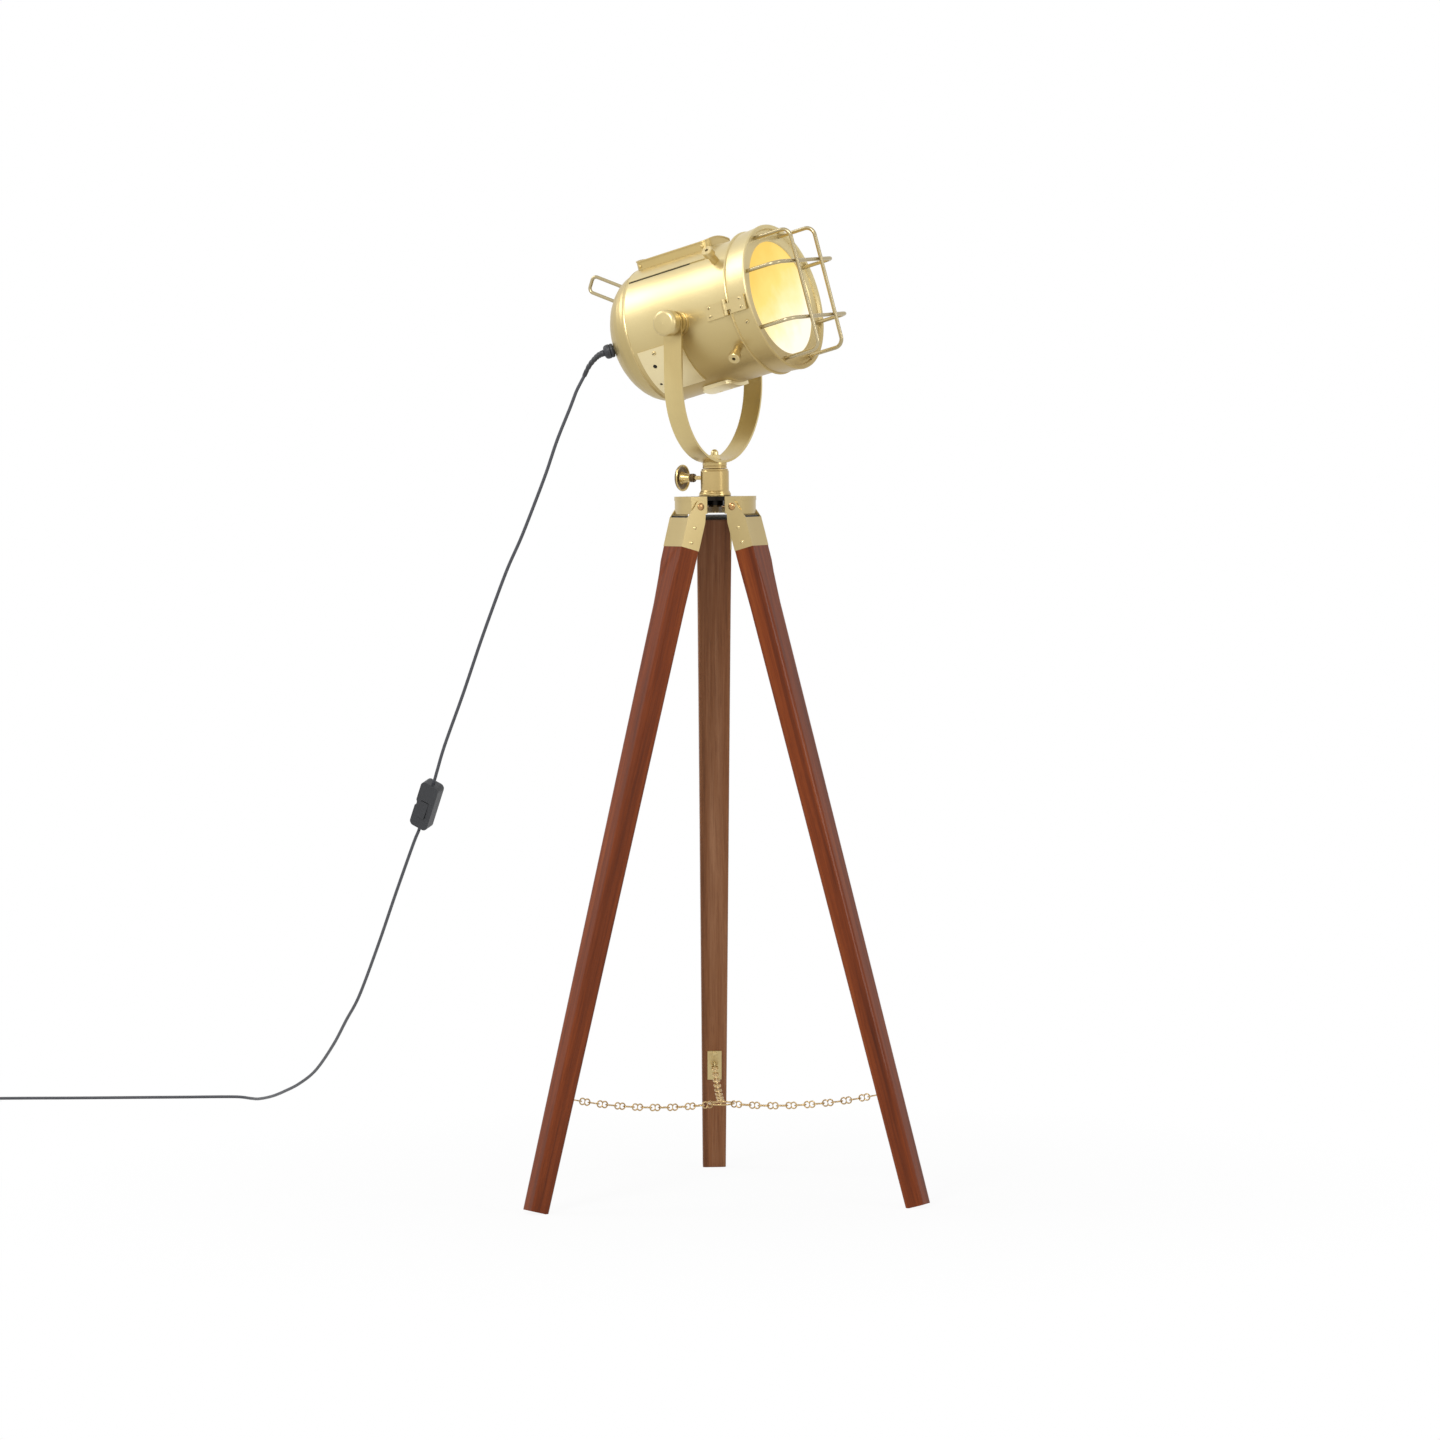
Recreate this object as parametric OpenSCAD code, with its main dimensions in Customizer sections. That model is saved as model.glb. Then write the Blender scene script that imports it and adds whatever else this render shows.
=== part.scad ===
// Tripod spotlight floor lamp. Millimetres, +Z up, origin on the floor under the stem's axis.
// The head's own frame: X forward along the beam, Y to the far side, Z up, origin on the pivot.

/* [Tripod] */
// Height of the leg hinges above the floor
hinge_z = 1000; // [900:10:1100]
// Radius of the leg hinges from the stem's axis
hinge_r = 40; // [39:0.5:43]
// Radius at which the legs stand
foot_r = 316; // [280:2:340]
// Width of a leg under its bracket
leg_w_top = 49.4; // [48:0.2:49.6]
// Width of a leg at the floor
leg_w_foot = 34.5; // [30:0.5:42]
// Depth of a leg at the floor
leg_t_foot = 27; // [21:0.5:29]
// Height of the chain hooks above the floor
hook_z = 159; // [150:1:240]

/* [Head] */
// Outer radius of the drum
drum_r = 99; // [94:0.5:102]
// Length of the drum behind the pivot
drum_back = 88; // [80:1:96]
// Length of the drum ahead of the pivot
drum_front = 87; // [84:1:96]
// Depth of the domed rear
dome_d = 61; // [50:1:64]
// Upward tilt of the head at rest
tilt = 14.2; // [0:0.1:25]
// Turn of the head about the stem at rest
pan = -32.2; // [-60:0.1:0]
// Height of the beam's axis above the pivot
axis_up = 6.9; // [6:0.1:12]
// Diameter of the cage's rods
rod_d = 5.6; // [4.5:0.1:6.5]

/* [Yoke] */
// Width of the yoke's strap
strap_w = 29; // [24:0.5:32]
// Thickness of the yoke's strap
strap_t = 3.5; // [3:0.1:4]
// Straight length of the yoke's arms
arm_l = 83.5; // [76:0.5:90]

/* [Cord] */
// Diameter of the cord
cord_d = 5; // [4:0.1:5.6]
// Turns of the coil in each of its two layers
coil_turns = 2; // [1:1:3]

/* [Fits] */
// Radial clearance of a running fit
fit = 0.05; // [0.03:0.01:0.09]
// Gap between pieces of different bodies
gap = 0.3; // [0.3:0.05:0.5]
// Radial play of a bolt, rivet or sheet where it is fastened
seat = 0.1; // [0.05:0.05:0.15]

/* [Hidden] */
$fn = 64;

// Tripod
brk_t = 2;
leg_t = 30;
leg_off = 2;
lug_w = 46 - 2 * gap;
lug_r = hinge_r + 19;
leg_x0 = leg_off - leg_t / 2;
leg_x1 = leg_off + leg_t / 2;
lean = atan((foot_r - hinge_r - leg_off) / hinge_z);
leg_top = 17.5;
brk_end = 63;
sole_l = 8;
leg_l = (hinge_z + (leg_x0 + sole_l * cos(lean)) * sin(lean)) / cos(lean);
pin_r = 3.5;
plate_w = 21;
plate_h = 46;
function leg_w(d) = leg_w_top + (leg_w_foot - leg_w_top) * (d - brk_end) / (leg_l - brk_end);
function leg_in(d) = leg_x0 + (leg_t - leg_t_foot) / 2 * (d - brk_end) / (leg_l - brk_end);
function leg_out(d) = leg_x1 - (leg_t - leg_t_foot) / 2 * (d - brk_end) / (leg_l - brk_end);

// Stem and swivel
hub_bot = hinge_z - 10.5;
hub_top = hinge_z + 14.5;
stem_top = hub_top + 39.5;
knob_z = hub_top + 26.5;
spigot_r = 8;
knob_az = pan + 180;

// Yoke
yoke_in = drum_r + 14;
yoke_out = yoke_in + strap_t;
strap_bot = stem_top + 8.5;
bend_z = strap_bot + yoke_out;
pivot_z = bend_z + arm_l;
stud_r = 4;

// Head, measured from the pivot; the beam's axis lies axis_up above it
wall = 1.5;
dome_r = drum_r - 2;
bezel_a = drum_front + 0.6;
bezel_f = bezel_a + 36;
bezel_r = drum_r + 8;
glass_r = drum_r - 9;
lip_r = drum_r - 16;
door_a = drum_front - 2.5;
door_s = -(drum_r + 9.6);
cage_turn = 3;
cage_a = bezel_f + 53.5;
upright_y = 36;
level_z = 41;
face_t = sqrt(drum_r * drum_r - axis_up * axis_up);
cap_x0 = 3 - drum_back;
cap_x1 = drum_front - 45;
cap_half = 0.37 * drum_r;

// Cord
cord_r = cord_d / 2;
sides = 8;

// Gland: its place on the dome and the line it stands along, in the beam's frame
gland_dir = [-0.876, -0.477, -0.073];
gland_u = [-65, -10];
gland_a = -drum_back - dome_d * sqrt(1 - pow(norm(gland_u) / dome_r, 2));

// A point of the beam's frame carried to the floor's frame
function floor_pt(p) =
    let (z0 = p[2] + axis_up, x = p[0] * cos(tilt) - z0 * sin(tilt), z = p[0] * sin(tilt) + z0 * cos(tilt))
    [x * cos(pan) - p[1] * sin(pan), x * sin(pan) + p[1] * cos(pan), pivot_z + z];
gland_at = floor_pt([gland_a, gland_u[0], gland_u[1]]);
gland_end = floor_pt([gland_a, gland_u[0], gland_u[1]] + 15 * gland_dir);

// Route of the cord, chosen by hand for a gland that ends at (-156, 13, 1223).
// Where the head's size or place differs, the route shifts with the gland and less towards the floor.
relief_route = [[-156, 13, 1223], [-163, 14, 1220], [-170, 15, 1214], [-178, 17, 1204], [-185, 20, 1190]];
stub_route = [[-185.2, 20.1, 1189.7], [-191, 23, 1179], [-197, 26, 1167]];
upper_route = [
    [-197, 26, 1166.4], [-206, 32, 1144], [-225, 45, 1098], [-241, 60, 1052], [-258, 74, 1008],
    [-279, 93, 956], [-299, 111, 912], [-320, 133, 858], [-342, 159, 798], [-368, 195, 723],
    [-396, 232, 647], [-408, 252, 608], [-414, 263, 588]
];
lower_route = [
    [-435, 297, 523], [-438, 302, 514], [-447, 318, 492], [-476, 391, 411], [-505, 482, 327], [-538, 597, 238],
    [-561, 668, 192], [-585, 759, 143], [-617, 875, 90], [-646, 951, 60], [-673, 1024, 39],
    [-697, 1098, 22], [-722, 1180, 8], [-738, 1232, 2.6], [-758, 1255, 2.5], [-790, 1262, 2.5],
    [-850, 1265, 2.5], [-910, 1269, 2.5], [-1026, 1276, 2.5], [-1110, 1284, 2.5], [-1180, 1289, 2.5],
    [-1215, 1290, 2.5], [-1228, 1290, 2.5], [-1240, 1290, 2.5]
];
route_gland = [-156, 13, 1223];
function shifted(route) = [
    for (p = route)
        [p[0], p[1], p[2] < 3 ? cord_r : p[2]]
            + (gland_end - route_gland) * max(0, p[2] - 10) / (route_gland[2] - 10)
];

// Coil: two layers of turns round one axis, wound in below and out above
coil_pitch = cord_d + 0.9;
coil_mid = 5.5 * cord_d;
coil_in = coil_mid - coil_pitch * coil_turns / 2;
coil_c = [-1240, 1290 + coil_in + coil_pitch * sqrt(coil_turns * coil_turns + 0.02)];
coil_steps = 24;
function coil_pt(k) =
    let (
        turn = k / coil_steps - coil_turns,
        r = coil_in + coil_pitch * sqrt(turn * turn + 0.02),
        climb = min(1, max(0, turn * 2 + 0.5)),
        a = -90 - 360 * (turn + coil_turns)
    )
    [coil_c[0] + r * cos(a), coil_c[1] + r * sin(a), cord_r + coil_pitch * climb * climb * (3 - 2 * climb)];
coil_n = 2 * coil_turns * coil_steps;
coil_tail = coil_pt(coil_n) + [-22, 0, -cord_r - coil_pitch + 7];
coil_path = concat(
    [for (k = [0:coil_n]) coil_pt(k)],
    [coil_pt(coil_n) + [-5, 0, -0.1], coil_tail + [7, 0, 0.3], coil_tail]
);
coil_gap = min([
    for (i = [0:coil_n - 8], j = [i + 8:coil_n]) norm(coil_path[i] - coil_path[j])
]) - cord_d;
echo(coil_gap = coil_gap);

// ---------------------------------------------------------------- shared shapes

// Stands its children along a direction from a point
module along(p, dir) {
    translate(p) rotate([0, acos(dir[2] / norm(dir)), atan2(dir[1], dir[0])]) children();
}

// Hexagonal nut with chamfered corners
module hex_nut(flats, height, bore) {
    intersection() {
        difference() {
            cylinder(r = flats / sqrt(3), h = height, $fn = 6);
            translate([0, 0, -1]) cylinder(r = bore, h = height + 2);
        }
        rotate_extrude() polygon([[0, 0], [flats * 0.53, 0], [flats * 0.6, 1], [flats * 0.6, height - 1],
            [flats * 0.53, height], [0, height]]);
    }
}

// Domed head of a screw or rivet, standing on z = 0
module round_head(r, h) {
    rotate_extrude() polygon(concat([[0, 0], [r, 0]],
        [for (a = [15:15:90]) [r * cos(a), h * sin(a)]]));
}

function unit(v) = v / norm(v);
function tangent(p, i) = unit(p[min(len(p) - 1, i + 1)] - p[max(0, i - 1)]);

// Smooth points through a hand-chosen route, n steps from point to point
function smooth(p, n) = concat([
    for (i = [0:len(p) - 2], k = [0:n - 1])
        let (t = k / n, a = p[max(0, i - 1)], b = p[i], c = p[i + 1], d = p[min(len(p) - 1, i + 2)])
        b + 0.5 * t * ((c - a) + t * ((2 * a - 5 * b + 4 * c - d) + t * (3 * b - a - 3 * c + d)))
], [p[len(p) - 1]]);

// Round tube along points; up is never parallel to the path. r1 and r2 are its radii at the two ends.
module tube(p, r1, r2, up, n = sides) {
    rings = [
        for (i = [0:len(p) - 1])
            let (
                t = tangent(p, i),
                e1 = unit(cross(t, up)),
                e2 = cross(t, e1),
                r = r1 + (r2 - r1) * i / (len(p) - 1)
            )
            for (k = [0:n - 1]) p[i] + r * (e1 * cos(360 * (k + 0.5) / n) + e2 * sin(360 * (k + 0.5) / n))
    ];
    m = len(p);
    walls = [
        for (i = [0:m - 2], k = [0:n - 1], h = [0, 1])
            let (a = i * n + k, b = i * n + (k + 1) % n)
            h == 0 ? [a, b, b + n] : [a, b + n, a + n]
    ];
    first = [for (k = [1:n - 2]) [0, k + 1, k]];
    last = [for (k = [1:n - 2]) [(m - 1) * n, (m - 1) * n + k, (m - 1) * n + k + 1]];
    polyhedron(concat(rings), concat(walls, first, last));
}

// ---------------------------------------------------------------- places

module at_leg(k) {
    rotate([0, 0, 120 * k - 30]) children();
}

// On a leg's hinge, Z up along the leg, X outwards
module leg_frame(k) {
    at_leg(k) translate([hinge_r, 0, hinge_z]) rotate([0, -lean, 0]) children();
}

module yoke_frame() {
    translate([0, 0, pivot_z]) rotate([0, 0, pan]) children();
}

module head_frame() {
    yoke_frame() rotate([0, -tilt, 0]) children();
}

module beam_frame() {
    head_frame() translate([0, 0, axis_up]) children();
}

// Turns a profile of (radius, distance forward) round the beam's axis
module beam_turned() {
    beam_frame() rotate([0, 90, 0]) rotate_extrude() children();
}

// Stands its children on one side of the head at the pivot, Z outwards
module side_frame(side) {
    rotate([-90 * side, 0, 0]) children();
}

// ---------------------------------------------------------------- stand

module lug_plan(r) {
    intersection() {
        union() {
            for (k = [0:2]) rotate(120 * k - 30) translate([0, -lug_w / 2]) square([lug_r + 2, lug_w]);
        }
        circle(r = r, $fn = 128);
    }
}

module hub() {
    color("#cdbb85") difference() {
        union() {
            translate([0, 0, hub_top - 6]) linear_extrude(6) lug_plan(lug_r + 0.7);
            translate([0, 0, hub_bot]) linear_extrude(19) difference() {
                lug_plan(lug_r);
                circle(r = hinge_r - 4.5);
                for (k = [0:2]) rotate(120 * k - 30) translate([0, 5 - lug_w / 2])
                    square([lug_r - 5, lug_w - 10]);
            }
            translate([0, 0, hub_top - 13]) cylinder(r = 13, h = 8);
        }
        for (k = [0:2]) at_leg(k) translate([hinge_r, 0, hinge_z]) rotate([90, 0, 0])
            cylinder(r = pin_r + fit, h = 60, center = true);
        translate([0, 0, hub_top - 30]) cylinder(r = 5 + seat, h = 40);
    }
}

module stem() {
    color("#d8c68e") difference() {
        union() {
            translate([0, 0, hub_top]) rotate_extrude() polygon([[0, 0], [23, 0], [23.2, 2], [23, 4],
                [22, 5.4], [21.8, 6.6], [21, 7.4], [20.5, 8.2], [20.5, 36], [20, 36.8], [19.4, 37.2],
                [19.4, 38.9], [18.8, 39.5], [0, 39.5]]);
            translate([0, 0, hub_top - 24]) cylinder(r = 5, h = 25);
        }
        translate([0, 0, knob_z - 12]) cylinder(r = spigot_r + fit, h = 40);
        translate([0, 0, knob_z]) rotate([0, 90, knob_az]) cylinder(r = 3 + fit, h = 40);
    }
}

module stem_nut() {
    color("#6b5d3f") translate([0, 0, hub_top - 22.5]) {
        translate([0, 0, 7.5]) difference() {
            cylinder(r = 11, h = 2);
            translate([0, 0, -1]) cylinder(r = 5 + seat, h = 4);
        }
        hex_nut(17, 7.5, 5 + seat);
    }
}

// Clamp on the stem: screw, lock nut and dished knob on one level axis
module clamp_frame() {
    translate([0, 0, knob_z]) rotate([0, 90, knob_az]) children();
}

module clamp_screw() {
    color("#b9a56c") clamp_frame() translate([0, 0, spigot_r + gap]) {
        cylinder(r1 = 2.2, r2 = 3, h = 1.5);
        translate([0, 0, 1.5]) cylinder(r = 3, h = 37);
    }
}

module clamp_lock_nut() {
    color("#3a3329") clamp_frame() translate([0, 0, 33]) difference() {
        rotate_extrude() polygon([[3 + seat, 0], [5.2, 0], [6.4, 1.2], [6.4, 3.2], [5.6, 4], [5.6, 4.8],
            [6.2, 5.4], [6.2, 7], [3 + seat, 7]]);
        for (a = [0:60:300]) rotate([0, 0, a]) translate([5.9, -3, -1]) cube([2, 6, 4]);
    }
}

module clamp_knob() {
    color("#5a4a2c") clamp_frame() difference() {
        translate([0, 0, 40]) rotate_extrude() polygon([[0, 0], [5, 0], [5.2, 1.5], [6.8, 8], [8.4, 12.4],
            [9.6, 14.2], [13, 15], [16.4, 14], [18, 12.4], [19, 12.2], [19.4, 13.2], [19.2, 14.8],
            [17.6, 17], [14, 18.6], [9, 19.5], [0, 20]]);
        translate([0, 0, 30]) cylinder(r = 3 + seat, h = 17);
    }
}

// ---------------------------------------------------------------- legs

// Outline of a leg at distance d below its hinge, with rounded outer and inner corners
function leg_ring(d, ro, ri) =
    let (x0 = leg_in(d), x1 = leg_out(d), y = leg_w(d) / 2)
    [
        for (q = [[x1 - ro, y - ro, ro, 0], [x0 + ri, y - ri, ri, 90],
                [x0 + ri, ri - y, ri, 180], [x1 - ro, ro - y, ro, 270]], a = [0:15:90])
            [q[0] + q[2] * cos(q[3] + a), q[1] + q[2] * sin(q[3] + a), -d]
    ];

module loft(rings) {
    n = len(rings[0]);
    m = len(rings);
    walls = [
        for (i = [0:m - 2], k = [0:n - 1], h = [0, 1])
            let (a = i * n + k, b = i * n + (k + 1) % n)
            h == 0 ? [a, b, b + n] : [a, b + n, a + n]
    ];
    top = [for (k = [1:n - 2]) [0, k + 1, k]];
    foot = [for (k = [1:n - 2]) [(m - 1) * n, (m - 1) * n + k, (m - 1) * n + k + 1]];
    polyhedron([for (r = rings) for (p = r) p], concat(walls, top, foot));
}

module leg(k) {
    color("#8a4526") difference() {
        leg_frame(k) union() {
            translate([leg_x0, -23, -brk_end]) cube([leg_t - brk_t, 46, brk_end - leg_top]);
            loft([
                leg_ring(brk_end, 1.2, 1.2), leg_ring(brk_end + 22, 1.2, 1.2),
                leg_ring(brk_end + 40, 5, 2), leg_ring(brk_end + 60, 7, 3), leg_ring(brk_end + 84, 9, 4),
                leg_ring(leg_l, 8, 4)
            ]);
        }
        leg_frame(k) for (d = [32, 54]) translate([2, 0, -d]) rotate([90, 0, 0])
            cylinder(r = 1.5 + seat, h = 60, center = true);
        at_leg(k) translate([foot_r, 0, -leg_t]) cube([4 * leg_t, 4 * leg_t, 2 * leg_t], center = true);
        at_leg(k) chain_plate_place() for (z = [-18, 18]) translate([0, 0, z]) rotate([0, 90, 0])
            cylinder(r = 1.2 + seat, h = 12);
    }
}

// Folded sheet channel: outer face, two cheeks that run up beside the lug
module bracket(k) {
    color("#cbb87c") leg_frame(k) difference() {
        union() {
            translate([leg_x1 - brk_t, -25, -brk_end]) cube([brk_t, 50, brk_end - 20.5]);
            for (s = [-1, 1]) translate([0, s * 24 + 1, 0]) rotate([90, 0, 0]) linear_extrude(2) {
                polygon([[leg_x0, -brk_end], [leg_x1, -brk_end], [leg_x1, -20.5], [9, 0], [-9, 0],
                    [leg_x0, -20]]);
                circle(r = 9);
            }
        }
        rotate([90, 0, 0]) cylinder(r = pin_r + seat, h = 80, center = true);
        for (d = [32, 54]) translate([2, 0, -d]) rotate([90, 0, 0])
            cylinder(r = 1.5 + seat, h = 80, center = true);
    }
}

// The hinge's pin through cheeks and lug, and two rivets through cheeks and wood
module leg_pins(k) {
    color("#c29a5e") leg_frame(k) rotate([90, 0, 0]) {
        cylinder(r = pin_r, h = 50, center = true);
        for (s = [0, 180]) rotate([s, 0, 0]) translate([0, 0, 25]) round_head(5.4, 2.8);
    }
    color("#b39f62") leg_frame(k) for (d = [32, 54]) translate([2, 0, -d]) rotate([90, 0, 0]) {
        cylinder(r = 1.5, h = 50, center = true);
        for (s = [0, 180]) rotate([s, 0, 0]) translate([0, 0, 25]) round_head(2.6, 1);
    }
}

// On the inner face of a leg at the hooks' height, X into the leg's wood
hook_d = (hinge_z - hook_z - 4) / cos(lean);
face_lean = lean + atan((leg_t - leg_t_foot) / 2 / (leg_l - brk_end));
module chain_plate_place() {
    translate([hinge_r, 0, hinge_z]) rotate([0, -lean, 0])
        translate([leg_in(hook_d), 0, -hook_d]) rotate([0, lean - face_lean, 0]) children();
}

// Plate with two round screws and a loop of wire that takes the chain's first link
module chain_plate(k) {
    color("#cdb978") at_leg(k) chain_plate_place() {
        translate([-1.5, -plate_w / 2, -plate_h / 2]) cube([1.5, plate_w, plate_h]);
        for (z = [-18, 18]) translate([0, 0, z]) {
            rotate([0, -90, 0]) translate([0, 0, 1.5]) round_head(3.2, 1.6);
            rotate([0, 90, 0]) translate([0, 0, -0.1]) cylinder(r = 1.2, h = 12);
        }
        translate([-1.5, 0, 0]) rotate([90, 0, 0]) rotate([0, 0, 90])
            rotate_extrude(angle = 180) translate([hook_loop, 0]) circle(r = hook_wire, $fn = 32);
    }
}

// ---------------------------------------------------------------- chains

wire_r = 1;
link_c = 4;
link_loop = 4.5;
hook_loop = 5;
hook_wire = 1.1;
ring_wire = 1.25;
// Play between two wires that pull on each other, and the reach of a link's end past its joint
slack = 0.12;
reach = wire_r + slack / 2;
link_pitch = 2 * (link_c + link_loop - reach);
// Inner face of a leg at the hook, as (radius, height), and the tip of the hook's wire
hook_face = [
    hinge_r + leg_in(hook_d) * cos(lean) + hook_d * sin(lean),
    hinge_z + leg_in(hook_d) * sin(lean) - hook_d * cos(lean)
];
hook_tip = hook_face - (1.5 + hook_loop) * [cos(face_lean), sin(face_lean)];
chain_at = hook_tip + [wire_r + hook_wire + slack - reach, 0];
// An even count of links, so that the first lies level in its hook and the last stands in the ring
link_n = 2 * floor((chain_at[0] - 14) / (2 * link_pitch * 0.993));
chain_a0 = -13;
chain_step = 14.2 / (link_n - 1);
function link_lean(i) = chain_a0 + chain_step * i;
// Joint n along a chain, as (distance inwards, height) from its first
function chain_pt(n) = n == 0 ? [0, 0] :
    chain_pt(n - 1) + link_pitch * [cos(link_lean(n - 1)), sin(link_lean(n - 1))];
chain_end = chain_pt(link_n);
ring_r = chain_at[0] - chain_end[0] - reach + wire_r + ring_wire + slack;

// One pinched link: two loops of wire that meet at its waist, lying along X, flat in XY
module chain_link() {
    for (s = [0, 180]) rotate([0, 0, s]) intersection() {
        translate([link_c, 0, 0]) rotate_extrude($fn = 48) translate([link_loop, 0])
            circle(r = wire_r, $fn = 32);
        translate([0, -10, -5]) cube([20, 20, 10]);
    }
}

module chain(k) {
    color("#d6bf86") at_leg(k) for (i = [0:link_n - 1]) {
        p = (chain_pt(i) + chain_pt(i + 1)) / 2;
        translate([chain_at[0] - p[0], 0, chain_at[1] + p[1]]) rotate([0, link_lean(i), 0])
            rotate([i % 2 == 0 ? 0 : 90, 0, 0]) chain_link();
    }
}

module chain_ring() {
    color("#e0cf9e") translate([0, 0, chain_at[1] + chain_end[1]]) rotate_extrude()
        translate([ring_r, 0]) circle(r = ring_wire, $fn = 32);
}

// ---------------------------------------------------------------- yoke and swivel

module strap_solid(r_in, r_out, width) {
    rotate([0, 90, 0]) rotate([0, 0, -90]) rotate_extrude(angle = 180, $fn = 128)
        translate([r_in, -width / 2]) square([r_out - r_in, width]);
}

module yoke() {
    color("#c9b577") yoke_frame() difference() {
        union() {
            translate([0, 0, -arm_l]) strap_solid(yoke_in, yoke_out, strap_w);
            for (s = [0, 1]) mirror([0, s, 0]) translate([0, yoke_out, 0]) rotate([90, 0, 0])
                linear_extrude(strap_t) {
                    translate([-strap_w / 2, -arm_l]) square([strap_w, arm_l]);
                    circle(r = strap_w / 2);
                }
        }
        rotate([90, 0, 0]) cylinder(r = stud_r + fit, h = 300, center = true);
        translate([0, 0, -arm_l - yoke_out - 5]) cylinder(r = stud_r + seat, h = 20);
    }
}

// Cap and spigot under the strap, with the bolt that goes up through it
module swivel() {
    color("#d8c68e") {
        difference() {
            rotate_extrude() translate([0, stem_top]) polygon([[0, -24], [7, -24], [spigot_r, -23],
                [spigot_r, gap], [16.8, gap], [17.6, 1], [17.6, 3.4], [17, 3.8], [17, 4.4], [17.6, 4.8],
                [17.6, 7.6], [17, 14], [0, 14]]);
            translate([0, 0, bend_z]) rotate([0, 0, pan]) rotate([0, 90, 0])
                cylinder(r = yoke_out + seat, h = 60, center = true, $fn = 128);
            translate([0, 0, knob_z]) rotate_extrude() translate([spigot_r + 1.6, 0]) circle(r = 2.4);
        }
        translate([0, 0, stem_top]) cylinder(r = stud_r, h = 20);
    }
}

module swivel_washer() {
    color("#b7a267") difference() {
        intersection() {
            translate([0, 0, bend_z - yoke_in - 1]) cylinder(r = 9.5, h = 3.2);
            translate([0, 0, bend_z]) rotate([0, 0, pan]) rotate([0, 90, 0])
                cylinder(r = yoke_in - seat, h = 60, center = true, $fn = 360);
        }
        cylinder(r = stud_r + seat, h = 2 * pivot_z);
    }
}

module acorn_nut() {
    z0 = bend_z - yoke_in + 2.2;
    color("#e3d6a6") difference() {
        union() {
            translate([0, 0, z0]) hex_nut(13, 6, 0.5);
            translate([0, 0, z0 + 5.9]) rotate_extrude() polygon(concat([[0, 0], [5.6, 0], [5.6, 0.8]],
                [for (a = [0:15:90]) [5.4 * cos(a), 2.6 + 5.6 * sin(a)]]));
        }
        cylinder(r = stud_r + seat, h = stem_top + 20.4);
    }
}

// A stud on each side of the drum, through the yoke's arm and into its knob
module tilt_studs() {
    color("#8d7b4b") head_frame() for (side = [-1, 1]) side_frame(side) {
        translate([0, 0, face_t - wall - 7]) cylinder(r = stud_r, h = yoke_out - face_t + wall + 29);
        translate([0, 0, face_t - wall - 11]) hex_nut(13, 6, 0.5);
    }
}

// Spacers between the drum and the yoke's arms, saddled on the drum, with a washer at each end
module tilt_spacers() {
    long = yoke_in - gap - face_t + 3;
    color("#a8935a") head_frame() difference() {
        for (side = [-1, 1]) side_frame(side) translate([0, 0, face_t - 3]) rotate_extrude() polygon([
            [stud_r + seat, 0], [17, 0], [17, 7], [15, 7.6], [15, 10.4], [17, 11], [17, long],
            [stud_r + seat, long]
        ]);
        translate([0, 0, axis_up]) rotate([0, 90, 0])
            cylinder(r = drum_r + seat, h = 80, center = true, $fn = 128);
    }
}

module tilt_knob(side) {
    z0 = yoke_out + gap;
    color("#d9c88c") head_frame() side_frame(side) difference() {
        translate([0, 0, z0]) rotate_extrude() polygon(concat([[0, 0], [15.6, 0], [15.6, 2], [10.8, 2.4],
            [10.4, 5], [14, 6], [16.8, 7.2], [18.6, 9], [19, 11.5], [19, 18]],
            [for (a = [0:15:90]) [12.6 + 6.2 * cos(a), 20 + 6 * sin(a)]], [[0, 27]]));
        translate([0, 0, z0 - 1]) cylinder(r = stud_r + fit, h = 23);
    }
}

// ---------------------------------------------------------------- lamp head

module drum() {
    color("#d6c487") difference() {
        beam_turned() polygon([
            [drum_r - wall, -drum_back], [drum_r + 0.6, -drum_back], [drum_r + 1, -drum_back + 1],
            [drum_r + 0.6, -drum_back + 2], [drum_r, -drum_back + 2.4], [drum_r, drum_front - 4],
            [drum_r + 0.8, drum_front - 3.4], [drum_r + 1.2, drum_front - 2],
            [drum_r + 0.8, drum_front - 0.6], [drum_r, drum_front], [drum_r - wall, drum_front]
        ]);
        head_frame() rotate([90, 0, 0]) cylinder(r = stud_r + seat, h = 300, center = true);
        beam_frame() for (x = [-50:18:22], s = [-1, 1]) rotate([14 * s, 0, 0])
            translate([x - 6, -2, drum_r - 10]) cube([12, 4, 20]);
    }
}

module dome() {
    steps = [for (b = [0:7.5:90]) b];
    color("#cfbd82") difference() {
        union() {
            beam_turned() polygon(concat(
                [for (b = steps) [dome_r * cos(b), -drum_back - dome_d * sin(b)]],
                [for (b = [90:-7.5:0]) [(dome_r - wall) * cos(b), -drum_back - (dome_d - wall) * sin(b)]],
                [[dome_r - wall - 1, -drum_back + 6], [drum_r - wall - seat, -drum_back + 6],
                    [drum_r - wall - seat, -drum_back], [drum_r + 0.7, -drum_back], [drum_r + 0.9, -drum_back - 1],
                    [drum_r + 0.4, -drum_back - 2]]
            ));
        }
        beam_frame() along([gland_a, gland_u[0], gland_u[1]], gland_dir)
            cylinder(r = 7 + seat, h = 20, center = true);
        handle_frame() for (s = [-1, 1]) translate([s * handle_w / 2, 0, 0])
            cylinder(r = handle_r + seat, h = 40, center = true);
    }
}

// Handle: a rod bent twice, its legs slanting back and up out of the dome; Z along the legs, X across
handle_r = 2.6;
handle_w = 24;
handle_out = 65;
handle_at = [-129, 67.5];
handle_lean = -56;
module handle_frame() {
    beam_frame() translate([handle_at[0], 0, handle_at[1]]) rotate([0, handle_lean, 0]) children();
}

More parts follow.
